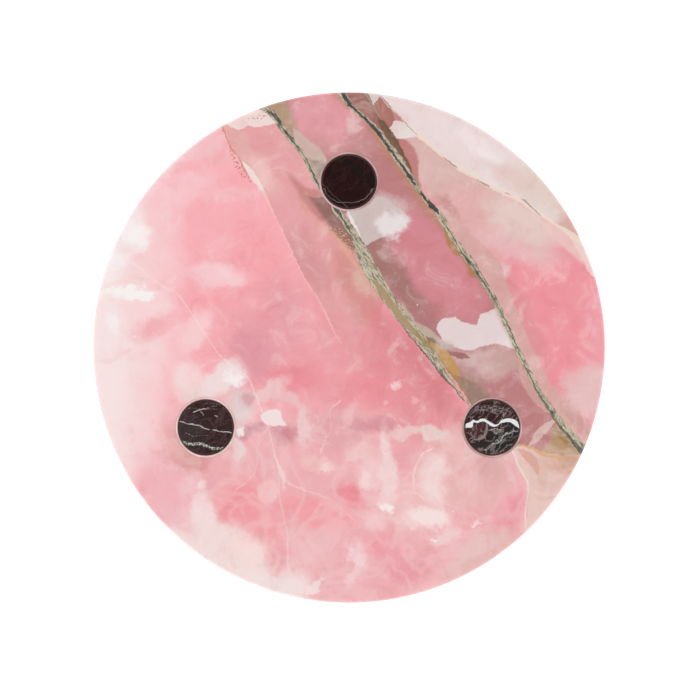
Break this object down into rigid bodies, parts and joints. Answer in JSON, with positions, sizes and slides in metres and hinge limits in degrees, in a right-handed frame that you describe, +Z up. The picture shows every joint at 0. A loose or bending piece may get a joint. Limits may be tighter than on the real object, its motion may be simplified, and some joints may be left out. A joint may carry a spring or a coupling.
{
  "type": "onyx slice",
  "caption": "Round polished pink onyx slice, thick as a shelf stone, standing on round dark marble feet that pass through it and show on its top as discs.",
  "frame": {"origin": "on the surface that the feet stand on, under the middle of the slice", "axes": "+Z up through the slice's thickness, +Y from the middle of the slice towards the back foot, +X towards the right foot's side"},
  "size_m": [0.32, 0.32, 0.0458],
  "materials": {
    "onyx": "polished pink onyx with cream, tan and grey veins, slightly translucent",
    "marble": "polished dark red marble with fine pale veins",
    "resin": "pink tinted resin, ground flush and polished"
  },
  "bodies": {
    "root": {"onyx_slice": "onyx", "marble_foot_back": "marble", "marble_foot_left": "marble", "marble_foot_right": "marble", "resin_joint_back": "resin", "resin_joint_left": "resin", "resin_joint_right": "resin"}
  },
  "joints": []
}
